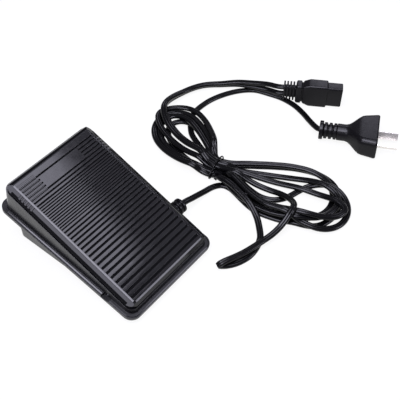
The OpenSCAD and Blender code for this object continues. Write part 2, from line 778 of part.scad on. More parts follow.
module hinge_pin() {
    color(steel_col) translate([-pin_l / 2, hinge_y, hinge_z]) rotate([0, 90, 0]) cylinder(h = pin_l, r = hinge_r);
}

module coil_spring() {
    per_turn = 10;
    rings = spring_turns * per_turn;
    mean_r = (spring_d - spring_wire) / 2;
    rise = spring_l - spring_wire;
    path = [for (i = [0:rings])
        [mean_r * cos(360 * i / per_turn), mean_r * sin(360 * i / per_turn), spring_wire / 2 + rise * i / rings]];
    sweep(path, spring_wire, spring_wire, 6);
}

module return_springs() {
    color(steel_col) for (x = [-spring_x, spring_x]) translate([x, spring_y, spring_z]) coil_spring();
}

// Arm under the roof whose slanted slot drives the slider
module cam_arm() {
    steps = 6;
    path = [for (i = [0:steps]) cam_point(i / steps)];
    across = unit([arm_low[1] - arm_high[1], arm_high[0] - arm_low[0]]);
    color("#3a3a3d") difference() {
        union() {
            side_plate(arm_x, arm_x + arm_t) {
                polygon([arm_low + across * arm_r, [flange_y0, arm_low[1]],
                    [flange_y0, tread_z(flange_y0, flange_d + flange_t / 2)],
                    [flange_y1, tread_z(flange_y1, flange_d + flange_t / 2)],
                    arm_high - across * arm_r, arm_low - across * arm_r]);
                translate(arm_low) circle(arm_r);
                translate(arm_high) circle(arm_r);
            }
            on_tread() translate([arm_x, flange_s0, -flange_d - flange_t])
                cube([flange_w, flange_s1 - flange_s0, flange_t]);
        }
        side_plate(arm_x - over, arm_x + arm_t + over) {
            polygon(concat([for (p = path) p + across * slot_r], [for (i = [steps:-1:0]) path[i] - across * slot_r]));
            translate(arm_low) circle(slot_r);
            translate(arm_high) circle(slot_r);
        }
        on_tread() for (s = arm_screw_s) translate([arm_screw_x, s, -flange_d - flange_t - over])
            cylinder(h = flange_t + 2 * over, r = screw_hole);
    }
}

module arm_screws() {
    color(steel_col) on_tread() for (s = arm_screw_s) translate([arm_screw_x, s, -flange_d - flange_t])
        screw(flange_t + arm_boss_h - over);
}

module circuit_board() {
    color("#8a6a3a") difference() {
        translate([0, 0, board_z]) linear_extrude(board_t)
            outline(board_w, board_heel_y, board_toe_y, board_corner_r);
        for (x = [-board_screw_x, board_screw_x], y = board_screw_ys) translate([x, y, board_z - over])
            cylinder(h = board_t + 2 * over, r = screw_hole);
    }
}

module board_screws() {
    color(steel_col) for (x = [-board_screw_x, board_screw_x], y = board_screw_ys) translate([x, y, board_top])
        mirror([0, 0, 1]) screw(board_t + board_lift - over / 2);
}

module slide_potentiometer() {
    slot_l = pot_travel + slider_l + 2 * free_gap + over;
    lug_t = 1.6;
    color("#6d7075") difference() {
        union() {
            translate([-pot_w / 2, pot_y - pot_l / 2, board_top]) cube([pot_w, pot_l, pot_h]);
            for (y = [-pot_l / 2 - lug_t, pot_l / 2]) translate([-pot_w / 4, pot_y + y, board_top])
                cube([pot_w / 2, lug_t, pot_h / 2]);
        }
        translate([-slider_w / 2 - free_gap, pot_y - slot_l / 2, board_top + pot_h - slider_sunk - free_gap])
            cube([slider_w + 2 * free_gap, slot_l, slider_sunk + free_gap + over]);
    }
}

module pot_slider() {
    slider_low = board_top + pot_h - slider_sunk;
    color("#e3e0d6") {
        translate([-slider_w / 2, follower_y - slider_l / 2, slider_low])
            cube([slider_w, slider_l, follower_z + follower_r + over - slider_low]);
        translate([0, follower_y, follower_z]) rotate([0, 90, 0])
            cylinder(h = arm_x + arm_t + over, r = follower_r);
    }
}

module heat_sink() {
    fins = 5;
    fin_pitch = (sink_l - sink_fin_t) / (fins - 1);
    color("#a9acb0") difference() {
        translate([sink_x, sink_y - sink_l / 2, board_top]) linear_extrude(sink_h) {
            translate([sink_fin, 0]) square([sink_t, sink_l]);
            for (i = [0:fins - 1]) translate([0, i * fin_pitch]) square([sink_fin + over, sink_fin_t]);
        }
        translate([sink_x + sink_fin - over, sink_y, triac_tab_z + triac_tab_h / 2]) rotate([0, 90, 0])
            cylinder(h = sink_t + 2 * over, r = pilot_r);
    }
}

module triac() {
    color("#232325") difference() {
        union() {
            translate([triac_x, sink_y - triac_w / 2, board_top + triac_lift])
                cube([triac_t, triac_w, triac_body_h]);
            translate([triac_x, sink_y - triac_w / 2, triac_tab_z - over])
                cube([triac_tab_t, triac_w, triac_tab_h + over]);
            for (k = [-1:1])
                translate([triac_leg_x, sink_y + k * triac_leg_pitch - triac_leg / 2, board_top])
                    cube([triac_leg, triac_leg, triac_lift + over]);
        }
        translate([triac_x - over, sink_y, triac_tab_z + triac_tab_h / 2]) rotate([0, 90, 0])
            cylinder(h = triac_tab_t + 2 * over, r = screw_hole);
    }
}

module triac_screw() {
    color(steel_col) translate([triac_x + triac_tab_t, sink_y, triac_tab_z + triac_tab_h / 2]) rotate([0, -90, 0])
        screw(triac_tab_t + sink_t + 1.5);
}

module choke_core() {
    color("#2b2b2b") translate([choke_x, choke_y, board_top]) rotate_extrude() polygon([
        [0, 0], [choke_r, 0], [choke_r, choke_flange], [choke_core_r, choke_flange],
        [choke_core_r, choke_h - choke_flange], [choke_r, choke_h - choke_flange], [choke_r, choke_h], [0, choke_h]]);
}

// Winding with a rounded bulge for each row of wire
module choke_winding() {
    rows = 8;
    row_h = (choke_h - 2 * choke_flange) / rows;
    inner_r = choke_core_r + pin_seat;
    outer_r = choke_r - choke_flange;
    color("#a8622a") translate([choke_x, choke_y, board_top + choke_flange]) rotate_extrude() {
        translate([inner_r, pin_seat]) square([outer_r - inner_r, choke_h - 2 * choke_flange - 2 * pin_seat]);
        for (i = [0:rows - 1]) translate([outer_r, row_h * (i + 0.5)]) circle(row_h / 2 - pin_seat, $fn = 24);
    }
}

module suppression_capacitor() {
    lift = 1;
    leg_r = 0.5;
    leg_y = cap_l * 0.31;
    corner_r = cap_w * 0.11;
    color("#c8a23a") {
        translate([cap_x, cap_y, board_top + lift]) linear_extrude(cap_h)
            outline(cap_w, -cap_l / 2, cap_l / 2, corner_r);
        for (y = [-leg_y, leg_y]) translate([cap_x, cap_y + y, board_top]) cylinder(h = lift + over, r = leg_r);
    }
}

// Axial resistor that lies along the board on its two bent legs
module axial_resistor() {
    body_l = 6.5;
    body_r = 1.5;
    bulb_l = 1.6;
    bulb_r = 1.8;
    leg_r = 0.4;
    span = 10.6;
    lift = 2.4;
    translate([0, 0, lift]) rotate([-90, 0, 0]) translate([0, 0, -body_l / 2]) {
        cylinder(h = body_l, r = body_r);
        for (z = [0, body_l - bulb_l]) translate([0, 0, z]) cylinder(h = bulb_l, r = bulb_r);
    }
    translate([0, -span / 2 - leg_r, lift]) rotate([-90, 0, 0]) cylinder(h = span + 2 * leg_r, r = leg_r);
    for (y = [-span / 2, span / 2]) translate([0, y, 0]) cylinder(h = lift, r = leg_r);
}

module resistors() {
    color("#d9c49a") for (i = [0:2]) translate([resistor_x + resistor_pitch * i, resistor_y, board_top])
        axial_resistor();
}

module terminal_block() {
    color("#2f6b46") difference() {
        translate([term_x - term_l / 2, term_y, board_top]) cube([term_l, term_w, term_h]);
        for (x = [-term_pitch / 2, term_pitch / 2]) {
            translate([term_x + x, term_y + term_hole_l, term_wire_z]) rotate([90, 0, 0])
                cylinder(h = term_hole_l + over, r = core_r + free_gap);
            translate([term_x + x, term_screw_y, board_top + term_h - term_screw_d])
                cylinder(h = term_screw_d + over, r = term_screw_r);
        }
    }
}

module terminal_screws() {
    color(steel_col) for (x = [-term_pitch / 2, term_pitch / 2])
        translate([term_x + x, term_screw_y, board_top + term_h - term_screw_d]) difference() {
            cylinder(h = term_screw_h, r = term_screw_r - pin_seat);
            translate([-term_screw_r, -driver_slot / 2, term_screw_h - driver_slot])
                cube([2 * term_screw_r, driver_slot, over]);
        }
}

// Flat lead from the strain relief to the clamp
module lead_tail() {
    lobe_r = cord_t / 2;
    color(rubber_col) translate([tail_end_x, gland_y, gland_z]) rotate([90, 0, 90])
        linear_extrude(inside_x - tail_end_x) {
            for (a = [-1, 1]) translate([a * (cord_w / 2 - lobe_r), 0]) circle(lobe_r);
            square([cord_w - 2 * lobe_r, cord_t * 0.7], center = true);
        }
}

// Core from the lead's end, up over the board's edge and into its terminal
module lead_core(side) {
    start = [tail_end_x - pin_seat, gland_y + side * (core_r + 0.4), gland_z];
    mouth = [term_x + side * term_pitch / 2, term_y, term_wire_z];
    turn_out = side < 0 ? [[mouth[0] + 4, start[1] + 2, term_wire_z]] : [];
    sweep(concat(
        [start, start + [-0.8, 0, 0], start + [-2, 0, 1.6], [start[0] - 3.8, start[1] + 0.4, term_wire_z]],
        turn_out,
        [mouth + [1, -5, 0], mouth + [0, -2, 0], mouth + [0, term_hole_l - 0.5, 0]]), 2 * core_r, 2 * core_r, 8);
}

module lead_wires() {
    color("#7a4a2a") for (side = [-1, 1]) lead_core(side);
}

module cord_clamp() {
    bar_l = 2 * clamp_reach + 2 * clamp_post_r;
    color("#2a2a2c") difference() {
        translate([clamp_x - clamp_w / 2, gland_y - bar_l / 2, clamp_z]) cube([clamp_w, bar_l, clamp_t]);
        for (y = [-clamp_reach, clamp_reach]) translate([clamp_x, gland_y + y, clamp_z - over])
            cylinder(h = clamp_t + 2 * over, r = screw_hole);
    }
}

module clamp_screws() {
    color(steel_col) for (y = [-clamp_reach, clamp_reach]) translate([clamp_x, gland_y + y, clamp_z + clamp_t])
        mirror([0, 0, 1]) screw(clamp_t + 5);
}

// Round-ended slot for the flat lead, drawn across the lead
module lead_slot(gap) {
    r = cord_t / 2 + gap;
    x = cord_w / 2 - cord_t / 2;
    square([2 * x, 2 * r], center = true);
    for (a = [-x, x]) translate([a, 0]) circle(r);
}

module strain_relief() {
    flange = 2;
    taper = 0.4;
    groove = 1.7;
    neck_l = base_t + 2 * pin_seat;
    ring_from = neck_l + flange;
    ring_pitch = (gland_l + base_t - ring_from) / gland_rings;
    function ring_r(i) = gland_r - taper * (i + 1) / gland_rings;
    profile = concat(
        [[0, -flange], [gland_flange_r, -flange], [gland_flange_r, -pin_seat], [gland_neck_r, -pin_seat],
            [gland_neck_r, neck_l - pin_seat], [gland_r, neck_l - pin_seat], [gland_r, ring_from]],
        [for (i = [0:gland_rings - 1], k = [0:3])
            [ring_r(i) - (k < 2 ? groove : 0), ring_from + ring_pitch * (i + [0, 0.4, 0.4, 1][k])]],
        [[0, gland_l + base_t]]);
    color(rubber_col) translate([inside_x, gland_y, gland_z]) rotate([0, 90, 0]) difference() {
        rotate_extrude() polygon(profile);
        rotate([0, 0, 90]) translate([0, 0, -flange - over]) linear_extrude(gland_l + base_t + flange + 2 * over)
            lead_slot(cord_gap);
    }
}

module pedal_lead() {
    path = concat([[inside_x, gland_y, gland_z], [gland_end_x, gland_y, gland_z]], pedal_route);
    color(rubber_col) sweep(path, cord_w, cord_t, cord_sides);
}

module loose_loop() {
    color(rubber_col) sweep(loop_route, cord_w, cord_t, cord_sides);
}

// Point on the connector's rear face where a lead goes in
function conn_entry(up, back) = [conn_rear[0] - back * cos(conn_turn), conn_rear[1] - back * sin(conn_turn),
    conn_h / 2 + up];

module connector_lead_a() {
    path = concat(connector_route_a, [conn_entry(lead_stack / 2, 4), conn_entry(lead_stack / 2, 0)]);
    color(rubber_col) sweep(path, cord_w, cord_t, cord_sides);
}

module connector_lead_b() {
    path = concat(connector_route_b, [conn_entry(-lead_stack / 2, 4), conn_entry(-lead_stack / 2, 0)]);
    color(rubber_col) sweep(path, cord_w, cord_t, cord_sides);
}

// Frame of the plug: z runs from its tail to its face, and y is up
module on_plug() {
    translate(plug_tail) rotate([0, plug_lean - 90, plug_turn]) rotate([90, 0, 90]) children();
}

module plug_lead() {
    color(rubber_col) sweep(concat(plug_route, [plug_tail - plug_axis * 4, plug_tail]), cord_w, cord_t, cord_sides);
}

module hank_outline() {
    hull($fn = hull_fn) {
        translate(top_lobe) circle(top_lobe_r);
        translate(waist) circle(waist_r);
    }
    hull($fn = hull_fn) {
        translate(low_lobe) circle(low_lobe_r);
        translate(waist) circle(waist_r);
    }
}

module cord_hank() {
    color(rubber_col) difference() {
        linear_extrude(hank_h) hank_outline();
        translate([tie_spot[0], tie_spot[1], 0]) rotate([0, 0, tie_turn])
            cube([4 * waist_r, tie_w + 2 * cord_gap, 2 * (tie_t + cord_gap)], center = true);
    }
}

module hank_tie() {
    color(rubber_col) translate([tie_spot[0], tie_spot[1], 0]) rotate([90, 0, tie_turn])
        translate([0, 0, -tie_w / 2]) linear_extrude(tie_w) difference() {
            outline(2 * tie_half, 0, hank_h + tie_t + cord_gap, 2);
            outline(2 * tie_half - 2 * tie_t, tie_t, hank_h + cord_gap, 1);
        }
}

// Frame of the connector: z runs from its rear to its front, and y is up
module on_connector() {
    translate([conn_rear[0], conn_rear[1], conn_h / 2]) rotate([0, 0, conn_turn]) rotate([90, 0, 90]) children();
}

// Connector: ribbed comb, grooved collar, shoulders that widen to the body, and the nose with its sockets
module connector_body() {
    rib_pitch = comb_l / comb_ribs;
    core_w = comb_w * 0.65;
    core_h = comb_h * 0.7;
    groove_w = collar_w - 2 * collar_groove;
    groove_h = collar_h - 2 * collar_groove;
    groove_z = conn_body_x - 2 * collar_groove;
    color(rubber_col) on_connector() difference() {
        union() {
            loft([[0, core_w, core_h, conn_corner], [comb_l + over, core_w, core_h, conn_corner]]);
            for (i = [0:comb_ribs - 1]) translate([0, comb_rise, i * rib_pitch])
                loft([[0, comb_w, comb_h, conn_corner], [rib_pitch * 0.55, comb_w, comb_h, conn_corner]]);
            loft([
                [comb_l, groove_w, groove_h, conn_corner],
                [comb_l + collar_groove, collar_w, collar_h, conn_corner],
                [groove_z - collar_groove, collar_w, collar_h, conn_corner],
                [groove_z - collar_groove / 2, groove_w, groove_h, conn_corner],
                [groove_z + collar_groove / 2, groove_w, groove_h, conn_corner],
                [groove_z + collar_groove, collar_w, collar_h, conn_corner],
                [conn_body_x + shoulder_l, conn_w, conn_h, conn_corner],
                [conn_nose_x - conn_edge, conn_w, conn_h, conn_corner],
                [conn_nose_x, conn_w - 2 * conn_edge, conn_h - 2 * conn_edge, conn_corner - conn_edge]]);
            loft([
                [conn_nose_x - over, nose_w, nose_h, conn_corner],
                [conn_front_x - conn_edge, nose_w, nose_h, conn_corner],
                [conn_front_x, nose_w - conn_edge, nose_h - conn_edge, conn_corner - conn_edge / 2]]);
        }
        for (k = [-1:1]) translate([0, k * socket_pitch, conn_front_x - socket_depth]) {
            cylinder(h = socket_depth + over, r = socket_r);
            translate([0, 0, -contact_l]) cylinder(h = contact_l + over, r = contact_r);
        }
    }
}

module connector_contacts() {
    color("#c9a24a") on_connector() for (k = [-1:1])
        translate([0, k * socket_pitch, conn_front_x - socket_depth - contact_l])
            cylinder(h = contact_l, r = contact_r - pin_seat);
}

// Plug: ringed tail, round neck, and a head that flares in a soft curve to a wide flat face
module plug_body() {
    neck_z = plug_rings * plug_ring_pitch - 1;
    flare_z = plug_l * 0.45;
    head_z = plug_l * 0.76;
    head_w = plug_w * 0.9;
    head_h = plug_h * 0.95;
    neck_d = 2 * plug_neck_r;
    corner_r = plug_h / 4;
    function ease(x) = x * x * (3 - 2 * x);
    function between(a, b, x) = a + (b - a) * x;
    color(rubber_col) on_plug() difference() {
        union() {
            cylinder(h = neck_z + over, r = plug_core_r);
            cylinder(h = plug_end_l, r = plug_ring_r);
            for (i = [1:plug_rings - 1]) translate([0, 0, i * plug_ring_pitch])
                cylinder(h = plug_ring_l, r = plug_neck_r - 0.2);
            loft([
                [neck_z, neck_d, neck_d, plug_neck_r],
                for (i = [0:flare_steps]) let (x = i / flare_steps, s = ease(x)) [between(flare_z, head_z, x),
                    between(neck_d, head_w, s), between(neck_d, head_h, s), between(plug_neck_r, corner_r, s)],
                [plug_l - plug_rim_l, plug_w, plug_h, corner_r],
                [plug_l, plug_w - plug_rim_l, plug_h - plug_rim_l, corner_r - plug_rim_l / 2]]);
        }
        blades(blade_gap, over);
    }
}

// Two flat blades that splay apart, set into the plug's face
module blades(gap, extra) {
    for (side = [-1, 1]) translate([side * blade_pitch / 2, -blade_drop, plug_l - blade_seat - gap])
        rotate([0, 0, -side * blade_splay])
            translate([-blade_t / 2 - gap, -blade_w / 2 - gap, 0])
                cube([blade_t + 2 * gap, blade_w + 2 * gap, blade_l + blade_seat + extra]);
}

module plug_blades() {
    color(steel_col) on_plug() blades(0, 0);
}

treadle_cover();
base_housing();
rubber_feet();
hinge_pin();
return_springs();
cam_arm();
arm_screws();
circuit_board();
board_screws();
slide_potentiometer();
pot_slider();
triac();
heat_sink();
triac_screw();
choke_core();
choke_winding();
suppression_capacitor();
resistors();
terminal_block();
terminal_screws();
lead_tail();
lead_wires();
cord_clamp();
clamp_screws();
strain_relief();
pedal_lead();
cord_hank();
hank_tie();
loose_loop();
connector_lead_a();
connector_lead_b();
connector_body();
connector_contacts();
plug_lead();
plug_body();
plug_blades();
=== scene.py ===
"""Looks of the sewing machine foot pedal: camera, light, finishes, and its two flat leads at full length."""

import math
from collections import namedtuple

import bpy
import numpy as np
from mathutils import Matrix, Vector


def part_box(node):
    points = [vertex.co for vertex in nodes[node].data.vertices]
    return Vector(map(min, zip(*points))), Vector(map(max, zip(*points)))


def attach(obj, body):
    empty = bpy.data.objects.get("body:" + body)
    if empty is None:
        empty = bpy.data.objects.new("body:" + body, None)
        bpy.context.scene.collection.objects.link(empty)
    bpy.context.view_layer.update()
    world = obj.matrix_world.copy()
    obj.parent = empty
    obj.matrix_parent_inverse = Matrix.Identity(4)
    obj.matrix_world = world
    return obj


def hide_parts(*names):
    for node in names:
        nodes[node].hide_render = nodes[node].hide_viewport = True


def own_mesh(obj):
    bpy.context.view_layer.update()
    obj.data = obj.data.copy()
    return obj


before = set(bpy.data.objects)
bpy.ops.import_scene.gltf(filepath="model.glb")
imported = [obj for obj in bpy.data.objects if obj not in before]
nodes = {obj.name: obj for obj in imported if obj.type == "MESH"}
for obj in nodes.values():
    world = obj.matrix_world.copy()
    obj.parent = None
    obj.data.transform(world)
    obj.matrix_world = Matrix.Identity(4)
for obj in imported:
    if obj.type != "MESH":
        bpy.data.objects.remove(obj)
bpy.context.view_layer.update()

# The script's sizes are in millimetres, unless a comment says otherwise
MM = 0.001


# Camera, fitted to the photo: angles in degrees, distance and target in metres
CAMERA_AZIMUTH = -50.93
CAMERA_ELEVATION = 49.06
CAMERA_DISTANCE = 0.5744
CAMERA_TARGET = (0.07537, -0.02774, 0.0)
CAMERA_LENS = 64.8
CAMERA_SENSOR = 36.0


def set_camera():
    azimuth = math.radians(CAMERA_AZIMUTH)
    elevation = math.radians(CAMERA_ELEVATION)
    back = Vector((math.sin(azimuth) * math.cos(elevation), -math.cos(azimuth) * math.cos(elevation),
                   math.sin(elevation)))
    data = bpy.data.cameras.new("camera")
    data.sensor_width = CAMERA_SENSOR
    data.lens = CAMERA_LENS
    data.clip_start = 0.01
    data.clip_end = 20.0
    cam = bpy.data.objects.new("camera", data)
    bpy.context.scene.collection.objects.link(cam)
    cam.location = Vector(CAMERA_TARGET) + back * CAMERA_DISTANCE
    cam.rotation_euler = back.to_track_quat("Z", "Y").to_euler()
    bpy.context.scene.camera = cam


# Node trees

class Nodes:
    """Short way to write a node tree."""

    def __init__(self, tree):
        self.tree = tree
        tree.nodes.clear()

    def add(self, kind, inputs=None, **fields):
        """New node. An input is a value, or another node's socket to link to."""
        node = self.tree.nodes.new(kind)
        for key, value in fields.items():
            setattr(node, key, value)
        for key, value in (inputs or {}).items():
            if isinstance(value, bpy.types.NodeSocket):
                self.tree.links.new(value, node.inputs[key])
            else:
                node.inputs[key].default_value = value
        return node

    def math(self, operation, a, b=0.0):
        return self.add("ShaderNodeMath", {0: a, 1: b}, operation=operation).outputs[0]

    def vector(self, operation, a, b):
        return self.add("ShaderNodeVectorMath", {0: a, 1: b}, operation=operation).outputs

    def ramp(self, value, from_min, from_max, to_min, to_max):
        return self.add("ShaderNodeMapRange", {"Value": value, "From Min": from_min, "From Max": from_max,
                                               "To Min": to_min, "To Max": to_max}).outputs[0]

    def mix(self, factor, a, b):
        """Mix of two colours, for which the node has its inputs 6 and 7 and its output 2."""
        return self.add("ShaderNodeMix", {0: factor, 6: a, 7: b}, data_type="RGBA").outputs[2]


def mesh_group(name):
    """Empty node group for a modifier: it takes a mesh and gives one back."""
    group = bpy.data.node_groups.new(name, "GeometryNodeTree")
    for way in ("INPUT", "OUTPUT"):
        group.interface.new_socket("Geometry", in_out=way, socket_type="NodeSocketGeometry")
    return group


# Finishes

# Share that the colour varies by either way, and amount that the roughness does
MOTTLE = 0.12
ROUGH_SPREAD = 0.03
# How much finer the wear is than the mottle
WEAR_FINER = 3.1
# How far up the faces point where a finish goes from upright to sloping, and from sloping to level
UPRIGHT = (0.2, 0.6)
LEVEL = (0.95, 0.97)

FINISHES = {
    "black_abs": dict(colour=(0.004, 0.004, 0.005), rough=0.11, level=0.35, grain=2600, grain_depth=0.003,
                      mottle_scale=40, matte_sides=0.15, matte_top=0.35),
    # painted shade: a darker black that reflects little, for the grooves between the ribs and the painted
    # shadow strips on the bevels
    "painted_shade_abs": dict(colour=(0.002, 0.002, 0.0025), rough=0.5, level=0.05, grain=2600, grain_depth=0.003),
    "black_rubber": dict(colour=(0.011, 0.011, 0.011), rough=0.5, grain=1800),
    "lead_pvc": dict(colour=(0.002, 0.002, 0.0024), rough=0.16, level=0.24, grain=1400, grain_depth=0.003,
                     mottle_scale=90),
    "plug_pvc": dict(colour=(0.0025, 0.0023, 0.0032), rough=0.26, level=0.24, grain=1500, grain_depth=0.01,
                     matte_sides=0.3),
    "steel": dict(colour=(0.55, 0.55, 0.56), rough=0.25, metallic=1.0, grain=900),
    "blade_nickel": dict(colour=(0.84, 0.81, 0.76), rough=0.3, metallic=0.9, grain=500),
    "aluminium": dict(colour=(0.72, 0.73, 0.74), rough=0.35, metallic=1.0),
    "brass": dict(colour=(0.80, 0.60, 0.28), rough=0.3, metallic=1.0),
    "copper": dict(colour=(0.62, 0.28, 0.14), rough=0.3, metallic=0.8),
    "board_brown": dict(colour=(0.28, 0.17, 0.08), rough=0.5),
    "white_pom": dict(colour=(0.75, 0.74, 0.70), rough=0.4),
    "black_epoxy": dict(colour=(0.02, 0.02, 0.02), rough=0.45),
    "ferrite": dict(colour=(0.05, 0.05, 0.055), rough=0.6),
    "yellow_film": dict(colour=(0.62, 0.40, 0.06), rough=0.4),
    "lacquer": dict(colour=(0.62, 0.48, 0.28), rough=0.35),
    "green_nylon": dict(colour=(0.04, 0.22, 0.08), rough=0.45),
    "core_brown": dict(colour=(0.16, 0.06, 0.03), rough=0.4),
}

# Nodes of the part that each finish is on
DRESSED = {
    "black_abs": ("treadle_cover", "base_housing"),
    "black_rubber": ("rubber_feet",),
    "lead_pvc": ("lead_tail",),
    "plug_pvc": ("strain_relief", "connector_body", "plug_body"),
    "steel": ("hinge_pin", "arm_screws", "board_screws", "slide_potentiometer", "triac_screw",
              "terminal_screws", "clamp_screws"),
    "blade_nickel": ("plug_blades",),
    "aluminium": ("heat_sink",),
    "brass": ("connector_contacts",),
    "copper": ("choke_winding",),
    "board_brown": ("circuit_board",),
    "white_pom": ("pot_slider",),
    "black_epoxy": ("cam_arm", "triac", "cord_clamp"),
    "ferrite": ("choke_core",),
    "yellow_film": ("suppression_capacitor",),
    "lacquer": ("resistors",),
    "green_nylon": ("terminal_block",),
    "core_brown": ("lead_wires",),
}

# How wide the rounding is on the edges of these nodes
SOFT_EDGES = {
    "treadle_cover": 0.18, "base_housing": 0.3, "connector_body": 0.4, "plug_body": 0.5, "plug_blades": 0.25,
    "strain_relief": 0.4,
}


def grey(v):
    return (v, v, v, 1.0)


def finish_material(name, colour, rough, metallic=0.0, level=0.5, grain=4000.0, grain_depth=0.02,
                    mottle_scale=60.0, matte_sides=0.0, matte_top=0.0):
    """A finish whose colour, gloss and fine grain all vary a little over the surface."""
    mat = bpy.data.materials.new(name)
    mat.use_nodes = True
    n = Nodes(mat.node_tree)
    place = n.add("ShaderNodeTexCoord").outputs["Object"]
    cloud = n.add("ShaderNodeTexNoise",
                  {"Vector": place, "Scale": mottle_scale, "Detail": 4.0, "Roughness": 0.6})
    dark = (*(c * (1 - MOTTLE) for c in colour), 1.0)
    light = (*(c * (1 + MOTTLE) for c in colour), 1.0)
    wear = n.add("ShaderNodeTexNoise", {"Vector": place, "Scale": mottle_scale * WEAR_FINER, "Detail": 3.0})
    gloss = n.ramp(wear.outputs[0], 0.3, 0.7, max(rough - ROUGH_SPREAD, 0.02), rough + ROUGH_SPREAD)
    if matte_sides:
        normal = n.add("ShaderNodeNewGeometry").outputs["True Normal"]
        facing = n.add("ShaderNodeSeparateXYZ", {0: normal}).outputs[2]
        gloss = n.math("ADD", gloss, n.ramp(facing, *UPRIGHT, matte_sides, 0.0))
        gloss = n.math("ADD", gloss, n.ramp(facing, *LEVEL, 0.0, matte_top))
    skin = n.add("ShaderNodeTexNoise", {"Vector": place, "Scale": grain, "Detail": 2.0})
    bump = n.add("ShaderNodeBump",
                 {"Strength": 0.25, "Distance": grain_depth * MM, "Height": skin.outputs[0]})
    shader = n.add("ShaderNodeBsdfPrincipled",
                   {"Base Color": n.mix(cloud.outputs[0], dark, light), "Roughness": gloss,
                    "Metallic": metallic, "Specular IOR Level": level, "Normal": bump.outputs[0]})
    n.add("ShaderNodeOutputMaterial", {"Surface": shader.outputs[0]})
    return mat


def dress(obj, mat):
    obj.data.materials.clear()
    obj.data.materials.append(mat)


def smooth_by_angle(limit):
    """Node group that shades smoothly, apart from edges sharper than the limit."""
    group = mesh_group("smooth_by_angle")
    n = Nodes(group)
    source = n.add("NodeGroupInput")
    faces = n.add("GeometryNodeSetShadeSmooth", {"Geometry": source.outputs[0], "Shade Smooth": True})
    angle = n.add("GeometryNodeInputMeshEdgeAngle").outputs["Unsigned Angle"]
    soft = n.add("FunctionNodeCompare", {0: angle, 1: limit}, operation="LESS_EQUAL").outputs[0]
    edges = n.add("GeometryNodeSetShadeSmooth", {"Geometry": faces.outputs[0], "Shade Smooth": soft},
                  domain="EDGE")
    n.add("NodeGroupOutput", {0: edges.outputs[0]})
    return group


def soften(obj, width):
    """Rounds a moulding's edges as its tool does, so that they catch the light."""
    weld = obj.modifiers.new("weld", "WELD")
    weld.merge_threshold = 0.002 * MM
    flat = obj.modifiers.new("flat", "DECIMATE")
    flat.decimate_type = "DISSOLVE"
    flat.angle_limit = math.radians(0.8)
    edge = obj.modifiers.new("edge", "BEVEL")
    edge.width = width * MM
    edge.segments = 2
    edge.limit_method = "ANGLE"
    edge.angle_limit = math.radians(30)
    edge.use_clamp_overlap = False
    shade = obj.modifiers.new("shade", "NODES")
    shade.node_group = smooth_by_angle(math.radians(50))
    level = obj.modifiers.new("level", "WEIGHTED_NORMAL")
    level.weight = 100
    level.keep_sharp = True


# Meshes and curves

# Points on each stretch of a rounded curve, before it is divided evenly
SPLINE_POINTS = 12
# Share of a path's direction that is level, below which it counts as upright
STEEP = 0.15
# How many points along a path its flat side is evened out over
SIDE_BLUR = 1.5


def unit(v):
    """The vector, or each row of a table of vectors, at length one."""
    v = np.asarray(v, float)
    return v / np.linalg.norm(v, axis=-1, keepdims=True)


def between(t, t0, t1, a, b):
    """Point at t on the line through a at t0 and b at t1."""
    return (t1 - t) / (t1 - t0) * a + (t - t0) / (t1 - t0) * b


def spline_point(at, t, p):
    """Point of the curve through four points at four times, between the middle two."""
    a = [between(at, t[i], t[i + 1], p[i], p[i + 1]) for i in range(3)]
    b = [between(at, t[i], t[i + 2], a[i], a[i + 1]) for i in range(2)]
    return between(at, t[1], t[2], b[0], b[1])


def smooth_path(points, step):
    """Even points along a rounded curve through the given ones."""
    p = np.array(points, float)
    p = np.vstack([2 * p[0] - p[1], p, 2 * p[-1] - p[-2]])
    times = np.r_[0, np.cumsum(np.sqrt(np.linalg.norm(np.diff(p, axis=0), axis=1)))]
    dense = []
    for k in range(len(p) - 3):
        for at in np.linspace(times[k + 1], times[k + 2], SPLINE_POINTS, endpoint=False):
            dense.append(spline_point(at, times[k:k + 4], p[k:k + 4]))
    dense = np.array(dense + [p[-2]])
    run = np.r_[0, np.cumsum(np.linalg.norm(np.diff(dense, axis=0), axis=1))]
    even = np.linspace(0, run[-1], max(int(round(run[-1] / step)), 2) + 1)
    return np.c_[tuple(np.interp(even, run, dense[:, k]) for k in range(3))]


def blur(values, width):
    """Weighted mean along a path, ends held."""
    reach = int(3 * width)
    weights = np.exp(-0.5 * (np.arange(-reach, reach + 1) / width) ** 2)
    weights /= weights.sum()
    return np.convolve(np.pad(values, reach, mode="edge"), weights, mode="valid")


def tube_faces(rings, sides, first=0):
    """Faces between rings of points that follow each other, and at both ends."""
    faces = [tuple(first + i for i in (r * sides + j, r * sides + (j + 1) % sides,
                                       (r + 1) * sides + (j + 1) % sides, (r + 1) * sides + j))
             for r in range(rings - 1) for j in range(sides)]
    start = tuple(range(first, first + sides))
    end = tuple(i + (rings - 1) * sides for i in start)
    return faces + [start[::-1], end]


def add_mesh(name, verts, faces, mat, sharp=None):
    """Object that is smooth apart from edges sharper than so many degrees, or flat where none are given."""
    mesh = bpy.data.meshes.new(name)
    mesh.from_pydata((np.array(verts) * MM).tolist(), [], faces)
    mesh.update()
    if sharp:
        mesh.shade_smooth()
        mesh.set_sharp_from_angle(angle=math.radians(sharp))
    mesh.materials.append(mat)
    obj = bpy.data.objects.new(name, mesh)
    bpy.context.scene.collection.objects.link(obj)
    return obj


